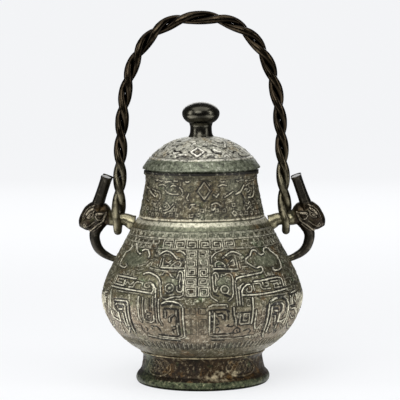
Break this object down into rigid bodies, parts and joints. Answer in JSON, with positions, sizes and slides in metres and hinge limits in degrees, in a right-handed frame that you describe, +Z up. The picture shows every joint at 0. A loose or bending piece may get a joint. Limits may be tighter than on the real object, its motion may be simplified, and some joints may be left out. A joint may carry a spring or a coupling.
{
  "type": "bronze hu vase",
  "caption": "Squat pear-shaped cast bronze hu with a domed lid, beast-head lugs and a rope-twist handle that swings over the top.",
  "frame": {"origin": "middle of the foot ring's underside", "axes": "+Z up through the knob, +X through the right lug, -Y the front; the handle turns about X"},
  "size_m": [0.2402, 0.1962, 0.3599],
  "materials": {
    "vessel": "cast bronze, grey-green patina worn bright on the raised lines",
    "lid": "cast bronze, paler grey-green patina on the dome",
    "handle": "dark brown bronze with worn ridges"
  },
  "bodies": {
    "vessel": {"vessel": "vessel", "lid": "lid"},
    "handle": {"handle": "handle"}
  },
  "joints": [
    {"name": "handle_swing", "type": "hinge", "parent": "vessel", "child": "handle", "pos_m": [0, 0, 0.158], "axis": [1, 0, 0], "range_deg": [-124, 124]}
  ]
}
